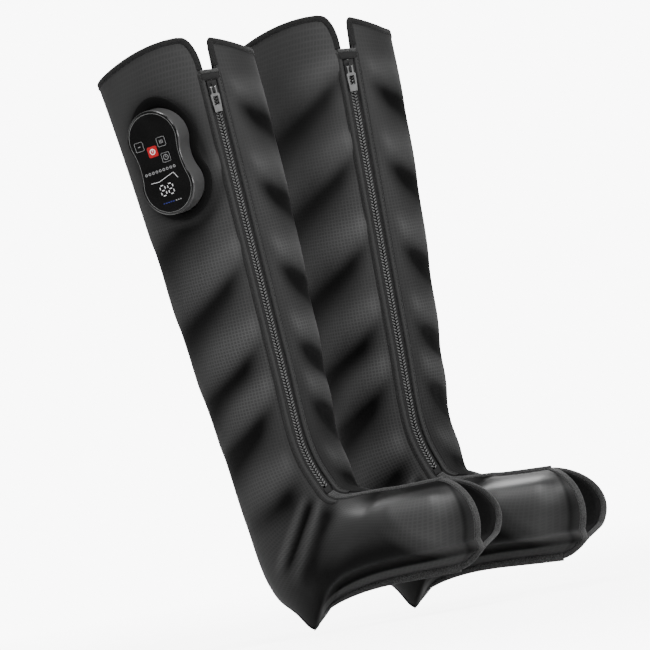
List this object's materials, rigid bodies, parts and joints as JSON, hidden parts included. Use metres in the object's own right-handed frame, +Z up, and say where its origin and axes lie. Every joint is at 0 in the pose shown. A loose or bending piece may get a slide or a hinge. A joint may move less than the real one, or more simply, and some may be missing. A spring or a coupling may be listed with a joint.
{
  "type": "leg massager",
  "caption": "Zip-up knee-high air compression massage boots with open toes, sewn-in air cells and a waisted control unit with push keys on one boot's side.",
  "frame": {"origin": "middle of the first boot's foot bed, where the sole of the foot rests", "axes": "+Z up the leg, +X towards the toes, +Y from the zip side to the far side"},
  "size_m": [0.3808, 0.3148, 0.607],
  "materials": {
    "shell_fabric": "black woven nylon, soft sheen",
    "lining_fabric": "black brushed knit",
    "binding_tape": "black folded binding tape",
    "zip_tape": "black zip tape",
    "air_cell": "grey welded film",
    "zip_teeth": "grey moulded coil",
    "zip_slider": "dark grey paint",
    "zip_puller": "dark grey paint",
    "port_plastic": "black moulded plastic",
    "control_case": "dark grey satin plastic",
    "fascia_gloss": "piano black",
    "key_black": "black gloss key",
    "key_red": "red gloss key",
    "switch_plastic": "black switch body",
    "board": "green board",
    "display_module": "dark display window",
    "battery_wrap": "blue film wrap",
    "pump_plastic": "grey moulded plastic",
    "motor_steel": "bare steel can",
    "screw_steel": "zinc plated",
    "socket_steel": "stamped steel"
  },
  "bodies": {
    "boots": {"first_outer_panel": "shell_fabric", "first_inner_panel": "shell_fabric", "first_lining": "lining_fabric", "first_upper_calf_bladder": "air_cell", "first_lower_calf_bladder": "air_cell", "first_ankle_bladder": "air_cell", "first_foot_bladder": "air_cell", "first_rim_binding": "binding_tape", "first_toe_binding": "binding_tape", "first_sole_binding": "binding_tape", "first_instep_binding": "binding_tape", "first_zip_tape_rear": "zip_tape", "first_zip_tape_front": "zip_tape", "first_zip_teeth_rear": "zip_teeth", "first_zip_teeth_front": "zip_teeth", "first_zip_bottom_stop": "zip_teeth", "first_notch_tab": "binding_tape", "first_hose_port": "port_plastic", "second_outer_panel": "shell_fabric", "second_inner_panel": "shell_fabric", "second_lining": "lining_fabric", "second_upper_calf_bladder": "air_cell", "second_lower_calf_bladder": "air_cell", "second_ankle_bladder": "air_cell", "second_foot_bladder": "air_cell", "second_rim_binding": "binding_tape", "second_toe_binding": "binding_tape", "second_sole_binding": "binding_tape", "second_instep_binding": "binding_tape", "second_zip_tape_rear": "zip_tape", "second_zip_tape_front": "zip_tape", "second_zip_teeth_rear": "zip_teeth", "second_zip_teeth_front": "zip_teeth", "second_zip_bottom_stop": "zip_teeth", "second_notch_tab": "binding_tape", "second_hose_port": "port_plastic", "control_collar": "binding_tape", "control_housing": "control_case", "control_tray": "control_case", "control_screws": "screw_steel", "control_fascia": "fascia_gloss", "key_switches": "switch_plastic", "circuit_board": "board", "display_module": "display_module", "battery": "battery_wrap", "air_pump": "pump_plastic", "pump_motor": "motor_steel", "valve_block": "pump_plastic", "charge_socket": "socket_steel"},
    "first_slider": {"first_zip_slider": "zip_slider"},
    "first_puller": {"first_zip_puller": "zip_puller"},
    "second_slider": {"second_zip_slider": "zip_slider"},
    "second_puller": {"second_zip_puller": "zip_puller"},
    "minus_button": {"minus_key": "key_black"},
    "power_button": {"power_key": "key_red"},
    "heat_button": {"heat_key": "key_black"},
    "time_button": {"time_key": "key_black"}
  },
  "joints": [
    {"name": "first_zip_travel", "type": "slide", "parent": "boots", "child": "first_slider", "axis": [0.0515, 0.0288, -0.9983], "range_m": [0, 0.34]},
    {"name": "first_puller_swing", "type": "hinge", "parent": "first_slider", "child": "first_puller", "pos_m": [-0.02557, -0.05372, 0.50932], "axis": [-0.8783, -0.4744, -0.0589], "range_deg": [0, 160]},
    {"name": "second_zip_travel", "type": "slide", "parent": "boots", "child": "second_slider", "axis": [-0.0166, 0.0287, -0.9994], "range_m": [0, 0.34]},
    {"name": "second_puller_swing", "type": "hinge", "parent": "second_slider", "child": "second_puller", "pos_m": [0.06779, 0.10628, 0.50688], "axis": [-0.8803, -0.4744, 0.0009], "range_deg": [0, 160]},
    {"name": "minus_press", "type": "slide", "parent": "boots", "child": "minus_button", "axis": [0.15, 0.9866, 0.0638], "range_m": [0, 0.0006], "stiffness_N_per_m": 1800},
    {"name": "power_press", "type": "slide", "parent": "boots", "child": "power_button", "axis": [0.15, 0.9866, 0.0638], "range_m": [0, 0.0006], "stiffness_N_per_m": 1800},
    {"name": "heat_press", "type": "slide", "parent": "boots", "child": "heat_button", "axis": [0.15, 0.9866, 0.0638], "range_m": [0, 0.0006], "stiffness_N_per_m": 1800},
    {"name": "time_press", "type": "slide", "parent": "boots", "child": "time_button", "axis": [0.15, 0.9866, 0.0638], "range_m": [0, 0.0006], "stiffness_N_per_m": 1800}
  ]
}
